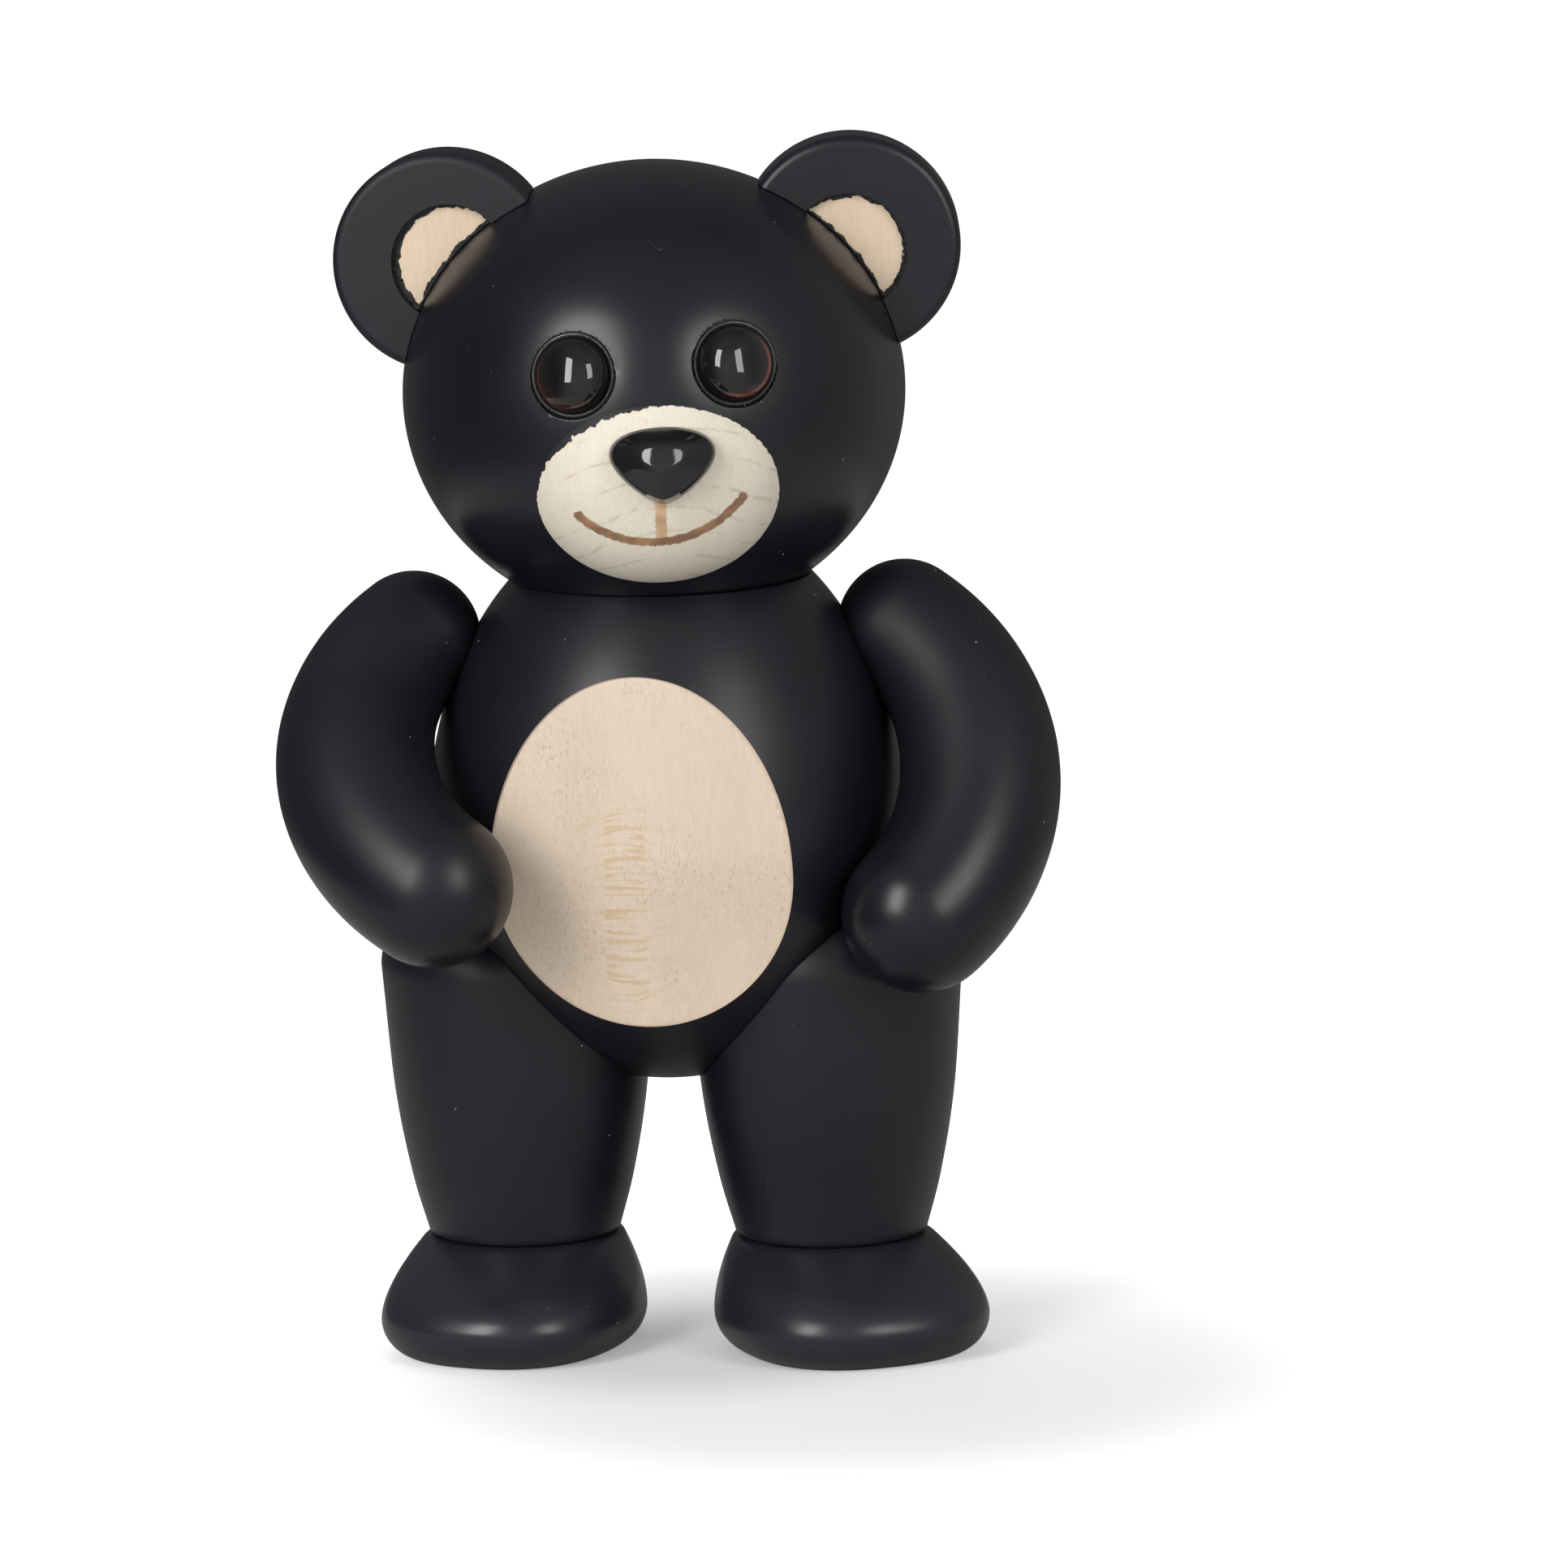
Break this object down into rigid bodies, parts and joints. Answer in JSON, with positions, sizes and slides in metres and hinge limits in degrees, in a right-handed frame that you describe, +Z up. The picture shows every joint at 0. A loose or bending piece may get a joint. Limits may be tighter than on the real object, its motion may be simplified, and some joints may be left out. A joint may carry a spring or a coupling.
{
  "type": "wooden bear figurine",
  "caption": "Standing bear figurine in turned wood, painted satin black, with bare-wood muzzle, belly and inner ears, a black nose and glass eyes.",
  "frame": {"origin": "middle of the bottom of the whole figure's box, on the floor plane that both soles stand on", "axes": "+Z up; the face and feet look along -Y; +X is the bear's own left side"},
  "size_m": [0.0928, 0.0666, 0.1451],
  "materials": {
    "black_paint": "wood under satin black paint",
    "bare_maple": "sanded bare maple, unvarnished",
    "eye_glass": "opaque black glass with a red-brown ring, polished",
    "nose_plastic": "glossy black moulding"
  },
  "bodies": {
    "root": {"body": "black_paint", "head": "black_paint", "muzzle": "bare_maple", "nose": "nose_plastic", "eye_left": "eye_glass", "eye_right": "eye_glass", "ear_left": "black_paint", "ear_right": "black_paint", "arm_left": "black_paint", "arm_right": "black_paint", "leg_left": "black_paint", "leg_right": "black_paint", "foot_left": "black_paint", "foot_right": "black_paint"}
  },
  "joints": []
}
